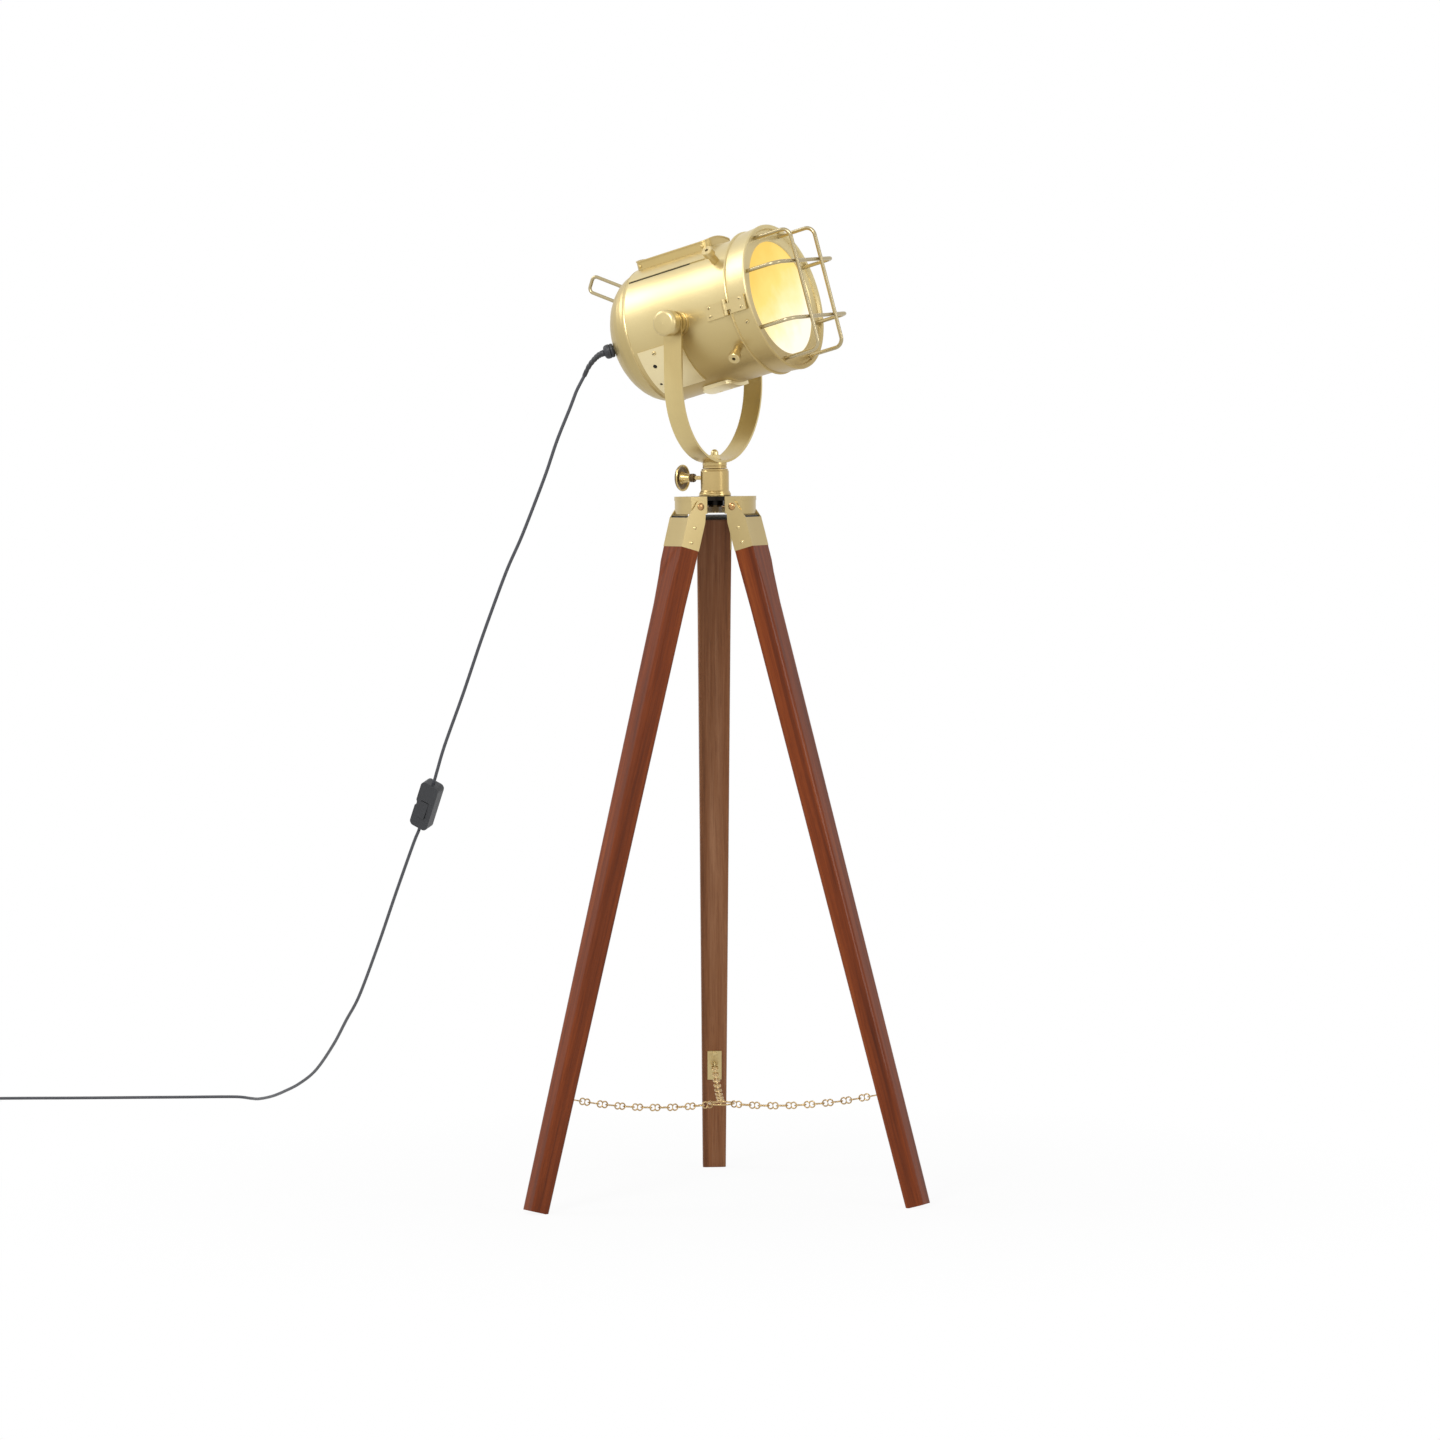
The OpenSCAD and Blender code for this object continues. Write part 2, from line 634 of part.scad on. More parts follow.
module rear_handle() {
    bend = 7;
    color("#c7b684") handle_frame() for (s = [0, 1]) mirror([s, 0, 0]) {
        translate([handle_w / 2, 0, -17]) cylinder(r = handle_r, h = handle_out + 17 - bend);
        translate([handle_w / 2, 0, -13]) cylinder(r = 5, h = 2);
        translate([handle_w / 2 - bend, 0, handle_out - bend]) rotate([90, 0, 0])
            rotate_extrude(angle = 90) translate([bend, 0]) circle(r = handle_r);
        translate([0, 0, handle_out]) rotate([0, 90, 0]) cylinder(r = handle_r, h = handle_w / 2 - bend);
    }
}

module gland() {
    color("#2c2b2b") beam_frame() along([gland_a, gland_u[0], gland_u[1]], gland_dir) rotate_extrude()
        polygon([[0, -4], [7, -4], [7, 0.4], [9.2, 0.4], [10.2, 2], [10.2, 4.4], [9.4, 5.2], [10.4, 6.2],
            [10.4, 10], [9.6, 12.6], [7.6, 14.4], [5.4, 15], [0, 15]]);
}

module strain_relief() {
    color("#2c2b2b") tube(smooth(shifted(relief_route), 2), 4.9, cord_r + 0.7, [0.6, 0.6, 0.5], 12);
}

// Base sheet of the top vent, bent to the drum
module vent_cover() {
    x0 = cap_x0;
    x1 = cap_x1 + 4;
    color("#d2c083") difference() {
        beam_frame() rotate([0, 90, 0]) rotate([0, 0, 140]) translate([0, 0, x0])
            rotate_extrude(angle = 80, $fn = 128) translate([drum_r + seat, 0]) square([1.2, x1 - x0]);
        beam_frame() for (x = [-50:18:22], s = [-1, 1]) rotate([14 * s, 0, 0])
            translate([x - 6, -2, drum_r - 10]) cube([12, 4, 20]);
    }
}

// Part of the vent cap between two radii, with rounded ends; grow widens its outline
module cap_band(r0, r1, grow) {
    intersection() {
        rotate([0, 90, 0]) rotate([0, 0, 152]) translate([0, 0, cap_x0 - 2])
            rotate_extrude(angle = 56, $fn = 128) translate([r0, 0]) square([r1 - r0, cap_x1 - cap_x0 + 4]);
        translate([0, 0, drum_r - 30]) linear_extrude(60) hull() {
            for (x = [cap_x0 + 12, cap_x1 - 12], s = [-1, 1]) translate([x, s * (cap_half - 12)])
                circle(r = 12 + grow, $fn = 32);
        }
    }
}

// Raised cap over the vent: walls with an outlet at the rear, a sunk top and a flanged rim
module vent_cap() {
    color("#c6b071") beam_frame() {
        difference() {
            union() {
                cap_band(drum_r + 1.3 + seat, drum_r + 13, 0);
                cap_band(drum_r + 12.2, drum_r + 14, 0.9);
            }
            cap_band(drum_r, drum_r + 10.4, -1.5);
            cap_band(drum_r + 11.8, drum_r + 20, -1.5);
            translate([cap_x0 - 5, -20, drum_r + 3]) cube([10, 40, 5]);
        }
        for (x = [cap_x0 + 9, cap_x1 - 11], s = [0, 1]) mirror([0, s, 0])
            translate([x, cap_half - 0.2, sqrt(pow(drum_r + 6.5, 2) - cap_half * cap_half)])
                rotate([-90, 0, 0]) round_head(2.6, 1.6);
    }
}

// Curved plate on the near side behind the yoke's arm, with a screw and two holes
module side_plate() {
    color("#d9c88c") difference() {
        beam_frame() rotate([0, 90, 0]) rotate([0, 0, -72.5]) translate([0, 0, 9 - drum_back])
            rotate_extrude(angle = 45, $fn = 128) translate([drum_r + seat, 0]) square([1.4, drum_back - 16]);
        beam_frame() for (q = [[-61.4, 32.7, 3.2], [-70, 51, 2.2]]) rotate([q[1], 0, 0])
            translate([q[0], 0, 0]) rotate([90, 0, 0]) cylinder(r = q[2], h = drum_r + 10);
    }
}

// Plate with rounded corners under the drum, held by two rivets
module base_plate() {
    color("#cbb87c") beam_frame() {
        intersection() {
            rotate([0, 90, 0]) rotate([0, 0, -19]) translate([0, 0, -28])
                rotate_extrude(angle = 38, $fn = 128) translate([drum_r + seat, 0]) square([5, 50]);
            translate([0, 0, -drum_r - 10]) linear_extrude(40) hull() for (x = [-20, 14], s = [-1, 1])
                translate([x, s * (0.3 * drum_r - 8)]) circle(r = 8, $fn = 32);
        }
        for (x = [-12, 6]) translate([x, 0, -drum_r - 5]) rotate([180, 0, 0]) round_head(2.8, 1.2);
    }
}

module sight_posts() {
    color("#d5c48a") beam_frame() for (q = [[67, -42], [72, 40]]) rotate([q[1], 0, 0])
        translate([q[0], 0, 0]) rotate([90, 0, 0]) difference() {
            union() {
                translate([0, 0, drum_r - 1]) cylinder(r = 6, h = 15);
                translate([0, 0, drum_r + 13.4]) rotate_extrude() polygon([[0, 0], [7.5, 0], [8.5, 1],
                    [8.5, 9.6], [7.7, 10.6], [0, 10.6]]);
            }
            translate([0, 0, drum_r + 16]) cylinder(r = 2.6, h = 12);
            cylinder(r = 30, h = drum_r);
        }
}

// ---------------------------------------------------------------- door: bezel, glass and cage

// On the door's hinge axis, Z along the pin
module door_frame() {
    beam_frame() translate([door_a, door_s, -7]) children();
}

module hinge_leaf_drum() {
    color("#cdb978") difference() {
        union() {
            door_frame() for (z = [-11, 4.8]) translate([0, 0, z]) cylinder(r = 3.6, h = 6.2);
            intersection() {
                beam_frame() rotate([0, 90, 0]) rotate([0, 0, -90]) translate([0, 0, drum_front - 40])
                    rotate_extrude($fn = 128) translate([drum_r + seat, 0]) square([9, 38.6]);
                beam_frame() union() {
                    translate([drum_front - 39, -drum_r - 2.2, -18]) cube([33, 10, 22]);
                    translate([drum_front - 8, -drum_r - 9, -18]) cube([6, 14, 6.2]);
                    translate([drum_front - 8, -drum_r - 9, -2.2]) cube([6, 14, 6.2]);
                }
            }
            beam_frame() for (z = [-13, 0]) translate([drum_front - 32, -drum_r - 2.1, z]) rotate([90, 0, 0])
                round_head(2.6, 1);
        }
        door_frame() translate([0, 0, -20]) cylinder(r = 1.75 + seat / 2, h = 40);
        beam_frame() rotate([0, 90, 0]) translate([0, 0, drum_front - 4.2])
            cylinder(r = drum_r + 1.3 + seat, h = 10, $fn = 128);
    }
}

module hinge_leaf_bezel() {
    color("#cdb978") difference() {
        union() {
            door_frame() translate([0, 0, -4.5]) cylinder(r = 3.6, h = 9);
            beam_frame() difference() {
                translate([door_a, -bezel_r - 3.2, -11.5]) cube([bezel_f - door_a - 8, 14, 9]);
                rotate([0, 90, 0]) translate([0, 0, -100]) cylinder(r = bezel_r + seat, h = 400, $fn = 128);
            }
            beam_frame() difference() {
                translate([bezel_a + 6, -bezel_r - 3.2, -18]) cube([bezel_f - bezel_a - 11, 14, 22]);
                rotate([0, 90, 0]) translate([0, 0, -100]) cylinder(r = bezel_r + seat, h = 400, $fn = 128);
            }
            beam_frame() for (z = [-13, -1]) translate([bezel_f - 12, -bezel_r - 3.1, z]) rotate([90, 0, 0])
                round_head(2.6, 1);
        }
        door_frame() translate([0, 0, -20]) cylinder(r = 1.75 + fit, h = 40);
    }
}

module door_pin() {
    color("#e0d09a") door_frame() {
        translate([0, 0, -11]) cylinder(r = 1.75, h = 22);
        translate([0, 0, 11]) round_head(2.7, 1.6);
        translate([0, 0, -11]) rotate([180, 0, 0]) round_head(2.7, 1.6);
    }
}

// Tab on the far side of the door, reaching back over the drum, with a small pull
module door_tab() {
    color("#cdb978") beam_frame() {
        difference() {
            translate([bezel_a + 6, bezel_r - 4, -7]) cube([20, 6.2, 14]);
            rotate([0, 90, 0]) translate([0, 0, -100]) cylinder(r = bezel_r + seat, h = 400, $fn = 128);
        }
        translate([drum_front - 20, bezel_r + 0.6, -7]) cube([bezel_a - drum_front + 46, 1.6, 14]);
        translate([bezel_a + 14, bezel_r + 2.2, 0]) rotate([-90, 0, 0]) rotate_extrude()
            polygon([[0, 0], [2, 0], [1.8, 1], [3.4, 1.8], [3.4, 2.6], [0, 3.2]]);
    }
}

// Catch on the drum under the tab, with a sprung ball
module door_catch() {
    color("#c2ab67") beam_frame() {
        difference() {
            translate([drum_front - 26, drum_r - 3, -10]) cube([18, 5, 20]);
            rotate([0, 90, 0]) translate([0, 0, -100]) cylinder(r = drum_r + seat, h = 300, $fn = 128);
        }
        translate([drum_front - 16, drum_r + 2, 0]) rotate([-90, 0, 0]) rotate_extrude()
            polygon([[0, 0], [4.5, 0], [4.5, 4], [3, 5], [1.6, 6], [0, 6.3]]);
    }
}

module bezel() {
    color("#d3c084") difference() {
        beam_turned() polygon([
            [drum_r + 2, bezel_a], [drum_r + 6, bezel_a], [drum_r + 7, bezel_a + 1],
            [drum_r + 6.6, bezel_a + 2.4], [drum_r + 5, bezel_a + 3.2], [drum_r + 5.2, bezel_a + 8],
            [bezel_r - 0.8, bezel_f - 3], [bezel_r, bezel_f - 2.4], [bezel_r - 0.4, bezel_f - 0.6],
            [bezel_r - 1.8, bezel_f], [bezel_r - 6, bezel_f - 0.6], [bezel_r - 8, bezel_f - 4],
            [lip_r + 2, bezel_f - 5], [lip_r, bezel_f - 6.2], [lip_r + 0.6, bezel_f - 7.4],
            [bezel_r - 6, bezel_f - 7.2], [drum_r + 3.4, bezel_f - 9], [drum_r + 3, bezel_a + 2]
        ]);
        beam_frame() rotate([cage_turn, 0, 0]) for (s = [-1, 1], t = [-1, 1]) {
            translate([bezel_f - 8, upright_y * s, (drum_r - 10.6) * t]) rotate([0, 90, 0])
                cylinder(r = rod_d / 2 + seat, h = 12);
            translate([bezel_f - 8, (drum_r - 12.6) * t, level_z * s]) rotate([0, 90, 0])
                cylinder(r = rod_d / 2 + seat, h = 12);
        }
    }
}

module glass() {
    color("#fff2c0", 0.5) beam_turned() polygon([
        [0, bezel_f - 10.6], [glass_r, bezel_f - 10.6], [glass_r, bezel_f - 7.5], [0, bezel_f - 7.5]
    ]);
}

// Ring behind the glass, sprung into the bezel
module glass_ring() {
    color("#9c8a57") beam_turned() polygon([
        [glass_r - 5, bezel_f - 13], [drum_r + 2.9, bezel_f - 13], [drum_r + 2.9, bezel_f - 10.7],
        [glass_r - 5, bezel_f - 10.7]
    ]);
}

// A rod bent twice over the glass, its ends in the bezel: half width, front plane, radius of its bends
module cage_rod(half, front, bend) {
    back = bezel_f - 6;
    r = rod_d / 2;
    for (s = [0, 1]) mirror([0, s, 0]) {
        translate([back, half, 0]) rotate([0, 90, 0]) cylinder(r = r, h = front - back - bend);
        translate([front - bend, half - bend, 0]) rotate_extrude(angle = 90) translate([bend, 0]) circle(r = r);
        translate([front, 0, 0]) rotate([-90, 0, 0]) cylinder(r = r, h = half - bend);
    }
}

module cage() {
    color("#d6c794") beam_frame() rotate([cage_turn, 0, 0]) for (s = [-1, 1]) {
        translate([0, upright_y * s, 0]) rotate([90, 0, 0]) cage_rod(drum_r - 10.6, cage_a, 13);
        translate([0, 0, level_z * s]) cage_rod(drum_r - 12.6, cage_a - rod_d + 0.2, 16);
    }
}

// ---------------------------------------------------------------- light source

module reflector() {
    hole = 23.4;
    mouth = drum_r - 5 - hole;
    long = 130;
    color("#e9e4d4") beam_turned() polygon(concat(
        [for (t = [0:0.1:1]) [hole + mouth * t, drum_front - 17 - long * (1 - pow(t, 1.6))]],
        [[drum_r - wall - seat, drum_front - 11], [drum_r - wall - seat, drum_front - 9],
            [drum_r - 6, drum_front - 9]],
        [for (t = [1:-0.1:0]) [hole + mouth * t - 1.2, drum_front - 15.4 - long * (1 - pow(t, 1.6))]]
    ));
}

module lamp_holder() {
    color("#efe9da") beam_turned() polygon([
        [0, wall - drum_back - dome_d + 0.9], [11, wall - drum_back - dome_d + 0.9], [11, -100], [16, -98],
        [16, -64], [21.6, -62], [21.6, -57], [18, -56], [18, -46], [0, -46]
    ]);
}

module bulb() {
    color("#fff6d8") beam_turned() polygon(concat([[0, -46], [13, -46], [13, -24], [15, -20]],
        [for (a = [-50:10:90]) [30 * cos(a), 14 + 30 * sin(a)]]));
}

// ---------------------------------------------------------------- cord

module cord_head() {
    color("#34343a") tube(smooth(shifted(stub_route), 2), cord_r, cord_r, [0.6, 0.6, 0.5]);
}

switch_top = shifted([upper_route[12]])[0];
switch_foot = shifted([lower_route[0]])[0];
switch_l = norm(switch_foot - switch_top);
// Along the switch, its rocker on the side that faces forward
module switch_frame() {
    along(switch_top, switch_foot - switch_top) rotate([0, 0, 148]) children();
}

rocker_at = [0, -7, switch_l / 2 + 6];
module switch_body() {
    color("#2a2a2c") switch_frame() difference() {
        hull() for (z = [7, switch_l - 7], s = [-1, 1]) translate([s * 8, 0, z]) rotate([90, 0, 0])
            cylinder(r = 7, h = 19, center = true, $fn = 32);
        translate([-6.4, -20, rocker_at[2] - 14]) cube([12.8, 17.5, 28]);
        translate(rocker_at) rotate([0, 90, 0]) cylinder(r = 1.5 + fit, h = 17, center = true);
        translate([20, 0, switch_l / 2]) rotate([90, 0, 0]) cylinder(r = 7, h = 40, center = true);
    }
}

// Rocker on its pin, tilted to its on side
module switch_rocker() {
    color("#37373a") switch_frame() translate(rocker_at) rotate([0, 90, 0]) {
        linear_extrude(12.2, center = true)
            polygon([[-12.5, 0], [0, 3], [12.5, 0], [12.8, -2.6], [0, -3.6], [-12.7, -5.4]]);
        cylinder(r = 1.5, h = 16, center = true);
    }
}

module cord_upper() {
    color("#34343a") tube(smooth(shifted(upper_route), 2), cord_r, cord_r, [0.6, 0.6, 0.5]);
}

module cord_lower() {
    color("#34343a") tube(smooth(shifted(lower_route), 2), cord_r, cord_r, [0.6, 0.6, 0.5]);
}

module cord_coil() {
    color("#34343a") tube(coil_path, cord_r, cord_r, [0, 0, 1], 6);
}

// Flat two-pin mains plug, lying on the floor, X away from its cord
module plug_frame() {
    translate([coil_tail[0], coil_tail[1], 7]) rotate([0, 0, 180]) children();
}

module plug_body() {
    color("#2a2a2c") plug_frame() hull() {
        rotate([0, 90, 0]) cylinder(r = 4, h = 1, $fn = 32);
        for (s = [-1, 1], x = [16, 30]) translate([x, s * 10.5, 0])
            cylinder(r = 7, h = 13.8, center = true, $fn = 32);
    }
}

module plug_pins() {
    color("#b9b5a8") plug_frame() for (s = [-1, 1]) translate([37, s * 9.5, 0]) rotate([0, 90, 0]) {
        cylinder(r = 2, h = 18);
        translate([0, 0, 18]) round_head(2, 1.4);
    }
}

hub();
stem();
stem_nut();
clamp_knob();
clamp_screw();
clamp_lock_nut();
leg(1);  // leg_1
leg(2);  // leg_2
leg(3);  // leg_3
bracket(1);  // bracket_1
bracket(2);  // bracket_2
bracket(3);  // bracket_3
leg_pins(1);  // leg_pins_1
leg_pins(2);  // leg_pins_2
leg_pins(3);  // leg_pins_3
chain_plate(1);  // chain_plate_1
chain_plate(2);  // chain_plate_2
chain_plate(3);  // chain_plate_3
chain(1);  // chain_1
chain(2);  // chain_2
chain(3);  // chain_3
chain_ring();
yoke();
swivel();
swivel_washer();
acorn_nut();
tilt_studs();
tilt_spacers();
tilt_knob(-1);  // tilt_knob_near
tilt_knob(1);  // tilt_knob_far
drum();
dome();
rear_handle();
gland();
strain_relief();
vent_cover();
vent_cap();
side_plate();
base_plate();
sight_posts();
hinge_leaf_drum();
hinge_leaf_bezel();
door_pin();
door_tab();
door_catch();
bezel();
glass();
glass_ring();
cage();
reflector();
lamp_holder();
bulb();
cord_head();
cord_upper();
switch_body();
switch_rocker();
cord_lower();
cord_coil();
plug_body();
plug_pins();
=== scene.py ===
"""Tripod spotlight floor lamp: its looks, cord, fasteners and camera.

Metres, +Z up. The camera looks along +Y, and the beam points 32 degrees from +X towards it.
"""

import math

import bmesh
import bpy
from mathutils import Matrix, Vector


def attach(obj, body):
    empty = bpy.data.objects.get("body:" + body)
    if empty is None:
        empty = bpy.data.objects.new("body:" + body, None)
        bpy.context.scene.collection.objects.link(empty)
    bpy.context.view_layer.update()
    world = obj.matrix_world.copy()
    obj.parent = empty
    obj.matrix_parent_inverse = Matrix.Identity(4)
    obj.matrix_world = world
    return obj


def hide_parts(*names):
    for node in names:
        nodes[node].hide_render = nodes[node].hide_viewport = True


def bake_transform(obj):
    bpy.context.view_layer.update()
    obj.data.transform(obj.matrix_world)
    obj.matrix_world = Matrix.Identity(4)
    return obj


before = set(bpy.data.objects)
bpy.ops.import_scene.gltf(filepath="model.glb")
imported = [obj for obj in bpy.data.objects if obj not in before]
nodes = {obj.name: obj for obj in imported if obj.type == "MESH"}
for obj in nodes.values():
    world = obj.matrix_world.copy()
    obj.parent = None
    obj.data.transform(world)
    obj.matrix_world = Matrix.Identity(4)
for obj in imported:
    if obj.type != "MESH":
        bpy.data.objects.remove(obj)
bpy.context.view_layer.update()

# ---------------------------------------------------------------- camera, fitted to the photograph

CAMERA_AT = Vector((-0.3114, -7.9945, 1.1194))
CAMERA_TURN = math.radians(-2.257)
CAMERA_PITCH = -0.0535
CAMERA_ROLL = -0.0109
LENS = 138.5


def add_camera():
    forward = Vector((0, math.cos(CAMERA_PITCH), math.sin(CAMERA_PITCH)))
    up = Vector((0, -math.sin(CAMERA_PITCH), math.cos(CAMERA_PITCH)))
    right = Vector((1, 0, 0))
    c, s = math.cos(CAMERA_ROLL), math.sin(CAMERA_ROLL)
    turn = Matrix.Rotation(CAMERA_TURN, 3, "Z")
    axes = [turn @ (right * c + up * s), turn @ (up * c - right * s), turn @ -forward]
    camera = bpy.data.objects.new("camera", bpy.data.cameras.new("camera"))
    camera.matrix_world = Matrix.Translation(CAMERA_AT) @ Matrix(axes).transposed().to_4x4()
    camera.data.lens = LENS
    camera.data.sensor_width = 36
    camera.data.clip_end = 60
    bpy.context.scene.collection.objects.link(camera)
    bpy.context.scene.camera = camera


add_camera()

# ---------------------------------------------------------------- shared numbers, as in the solids

PAN = math.radians(-32.2)
TILT = math.radians(14.2)
PIVOT = Vector((0, 0, 1.2625))
AXIS_UP = 0.0069
DRUM_R = 0.099
AHEAD = Vector((math.cos(TILT) * math.cos(PAN), math.cos(TILT) * math.sin(PAN), math.sin(TILT)))
FAR = Vector((-math.sin(PAN), math.cos(PAN), 0))
UP = AHEAD.cross(FAR)
LEG_LEAN = math.atan(0.274)
BEAM = Matrix((AHEAD, FAR, UP)).transposed().to_4x4()
BEAM.translation = PIVOT + UP * AXIS_UP

CORD_D = 0.005
CORD_R = CORD_D / 2
RELIEF = [(-156, 13, 1223), (-163, 14, 1220), (-170, 15, 1214), (-178, 17, 1204), (-185, 20, 1190)]
ROUTE = [
    (-185, 20, 1190), (-191, 23, 1179), (-197, 26, 1167), (-206, 32, 1144), (-225, 45, 1098),
    (-241, 60, 1052), (-258, 74, 1008), (-279, 93, 956), (-299, 111, 912), (-320, 133, 858),
    (-342, 159, 798), (-368, 195, 723), (-396, 232, 647), (-408, 252, 608), (-414, 263, 588),
    (-435, 297, 523), (-438, 302, 514), (-447, 318, 492), (-476, 391, 411), (-505, 482, 327),
    (-538, 597, 238), (-561, 668, 192), (-585, 759, 143), (-617, 875, 90), (-646, 951, 60),
    (-673, 1024, 39), (-697, 1098, 22), (-722, 1180, 8), (-738, 1232, 2.6), (-758, 1255, 2.5),
    (-790, 1262, 2.5), (-850, 1265, 2.5), (-910, 1269, 2.5), (-1026, 1276, 2.5), (-1110, 1284, 2.5),
    (-1180, 1289, 2.5), (-1215, 1290, 2.5), (-1228, 1290, 2.5),
]
COIL_AT = Vector((-1.240, 1.290, 0))
COIL_TURNS = 2
COIL_PITCH = CORD_D + 0.0009
COIL_IN = 5.5 * CORD_D - COIL_PITCH * COIL_TURNS / 2
ROUTE_GLAND = Vector((-0.156, 0.013, 1.223))
GLAND_END = Vector((-0.157331, 0.013807, 1.222623))


def shifted(points):
    """Route in metres, moved with the gland's end and less towards the floor, as in the solids."""
    return [
        p + (GLAND_END - ROUTE_GLAND) * max(0, p.z - 0.01) / (ROUTE_GLAND.z - 0.01)
        for p in (Vector(point) / 1000 for point in points)
    ]


def smooth(points, steps):
    """Catmull-Rom curve through points, with some steps from one to the next."""
    out = []
    last = len(points) - 1
    for i in range(last):
        a, b, c, d = points[max(0, i - 1)], points[i], points[i + 1], points[min(last, i + 2)]
        for k in range(steps):
            t = k / steps
            bend = (2 * a - 5 * b + 4 * c - d) + t * (3 * b - a - 3 * c + d)
            out.append(b + 0.5 * t * ((c - a) + t * bend))
    out.append(points[last])
    return out


def coil_points():
    """Two layers of turns round one axis, wound in and then out, and the tail to the plug."""
    reach = COIL_IN + COIL_PITCH * math.sqrt(COIL_TURNS ** 2 + 0.02)
    middle = COIL_AT + Vector((0, reach, 0))
    out = []
    count = 2 * COIL_TURNS * 24
    for k in range(count + 1):
        turn = k / 24 - COIL_TURNS
        r = COIL_IN + COIL_PITCH * math.sqrt(turn * turn + 0.02)
        climb = min(1, max(0, turn * 2 + 0.5))
        z = CORD_R + COIL_PITCH * climb * climb * (3 - 2 * climb)
        a = math.radians(-90 - 15 * k)
        out.append(middle + Vector((r * math.cos(a), r * math.sin(a), z)))
    tail = out[-1] + Vector((-0.022, 0, 0.007 - CORD_R - COIL_PITCH))
    return out + [out[-1] + Vector((-0.005, 0, -0.0001)), tail + Vector((0.007, 0, 0.0003)), tail]


# ---------------------------------------------------------------- mesh helpers

def make(name, bm, material, body=None, smooth_angle=40):
    mesh = bpy.data.meshes.new(name)
    bmesh.ops.recalc_face_normals(bm, faces=bm.faces)
    limit = math.radians(smooth_angle)
    for face in bm.faces:
        face.smooth = True
    for edge in bm.edges:
        edge.smooth = len(edge.link_faces) == 2 and edge.calc_face_angle(0) < limit
    bm.to_mesh(mesh)
    bm.free()
    mesh.materials.append(material)
    piece = bpy.data.objects.new(name, mesh)
    bpy.context.scene.collection.objects.link(piece)
    if body:
        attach(piece, body)
    return piece


def sweep(bm, points, radii, sides=12, start=None):
    """Closed tube along points; radii is one number or one for each point."""
    count = len(points)
    if not isinstance(radii, (list, tuple)):
        radii = [radii] * count
    rings = []
    side = start or Vector((0, 0, 1))
    for i, point in enumerate(points):
        along = (points[min(count - 1, i + 1)] - points[max(0, i - 1)]).normalized()
        side = side - along * side.dot(along)
        if side.length < 1e-6:
            side = along.orthogonal()
        side.normalize()
        other = along.cross(side)
        ring = []
        for k in range(sides):
            a = 2 * math.pi * k / sides
            ring.append(bm.verts.new(point + (side * math.cos(a) + other * math.sin(a)) * radii[i]))
        rings.append(ring)
    for a, b in zip(rings, rings[1:]):
        for k in range(sides):
            bm.faces.new((a[k], a[(k + 1) % sides], b[(k + 1) % sides], b[k]))
    bm.faces.new(rings[0])
    bm.faces.new(rings[-1])


def turn_about(bm, profile, place, sides=24):
    """Revolves (radius, height) pairs about the Z axis of place."""
    rings = []
    for r, z in profile:
        if r < 1e-6:
            rings.append([bm.verts.new(place @ Vector((0, 0, z)))])
        else:
            rings.append([
                bm.verts.new(place @ Vector((r * math.cos(2 * math.pi * k / sides),
                                             r * math.sin(2 * math.pi * k / sides), z)))
                for k in range(sides)
            ])
    for a, b in zip(rings, rings[1:]):
        for k in range(sides):
            n = (k + 1) % sides
            if len(a) == 1 and len(b) == 1:
                continue
            if len(a) == 1:
                bm.faces.new((a[0], b[k], b[n]))
            elif len(b) == 1:
                bm.faces.new((a[k], a[n], b[0]))
            else:
                bm.faces.new((a[k], a[n], b[n], b[k]))
    for ring in (rings[0], rings[-1]):
        if len(ring) > 1:
            bm.faces.new(ring)


def box(bm, size, place):
    corners = bmesh.ops.create_cube(bm, size=1)["verts"]
    for v in corners:
        v.co = place @ Vector((v.co.x * size[0], v.co.y * size[1], v.co.z * size[2]))


def stand_on(point, out, turn=0):
    """A frame at a point, its Z axis pointing out."""
    facing = out.to_track_quat("Z", "Y").to_matrix().to_4x4()
    return Matrix.Translation(point) @ facing @ Matrix.Rotation(turn, 4, "Z")


def on_beam(a, angle, radius):
    """Point on the head at a distance ahead and an angle up from the near side, and its way out."""
    t = math.radians(angle)
    out = -FAR * math.cos(t) + UP * math.sin(t)
    return BEAM.translation + AHEAD * (a / 1000) + out * (radius / 1000), out


# ---------------------------------------------------------------- materials

def shader(name, **values):
    material = bpy.data.materials.new(name)
    material.use_nodes = True
    tree = material.node_tree
    surface = tree.nodes["Principled BSDF"]
    for key, value in values.items():
        surface.inputs[key.replace("_", " ")].default_value = value
    return material, tree, surface


def coordinates(tree, stretch=(1, 1, 1), rotation=(0, 0, 0)):
    """Object coordinates, turned back by a rotation and then stretched along the new axes."""
    place = tree.nodes.new("ShaderNodeTexCoord")
    turn = tree.nodes.new("ShaderNodeMapping")
    turn.vector_type = "TEXTURE"
    turn.inputs["Rotation"].default_value = rotation
    turn.inputs["Scale"].default_value = stretch
    tree.links.new(place.outputs["Object"], turn.inputs["Vector"])
    return turn.outputs["Vector"]


def distance_along(tree, way, start, end):
    """0 to 1 from one distance to another along a direction of the part's frame."""
    place = tree.nodes.new("ShaderNodeTexCoord")
    along = tree.nodes.new("ShaderNodeVectorMath")
    along.operation = "DOT_PRODUCT"
    along.inputs[1].default_value = way
    tree.links.new(place.outputs["Object"], along.inputs[0])
    return spread(tree, along.outputs["Value"], 0, 1, start, end)


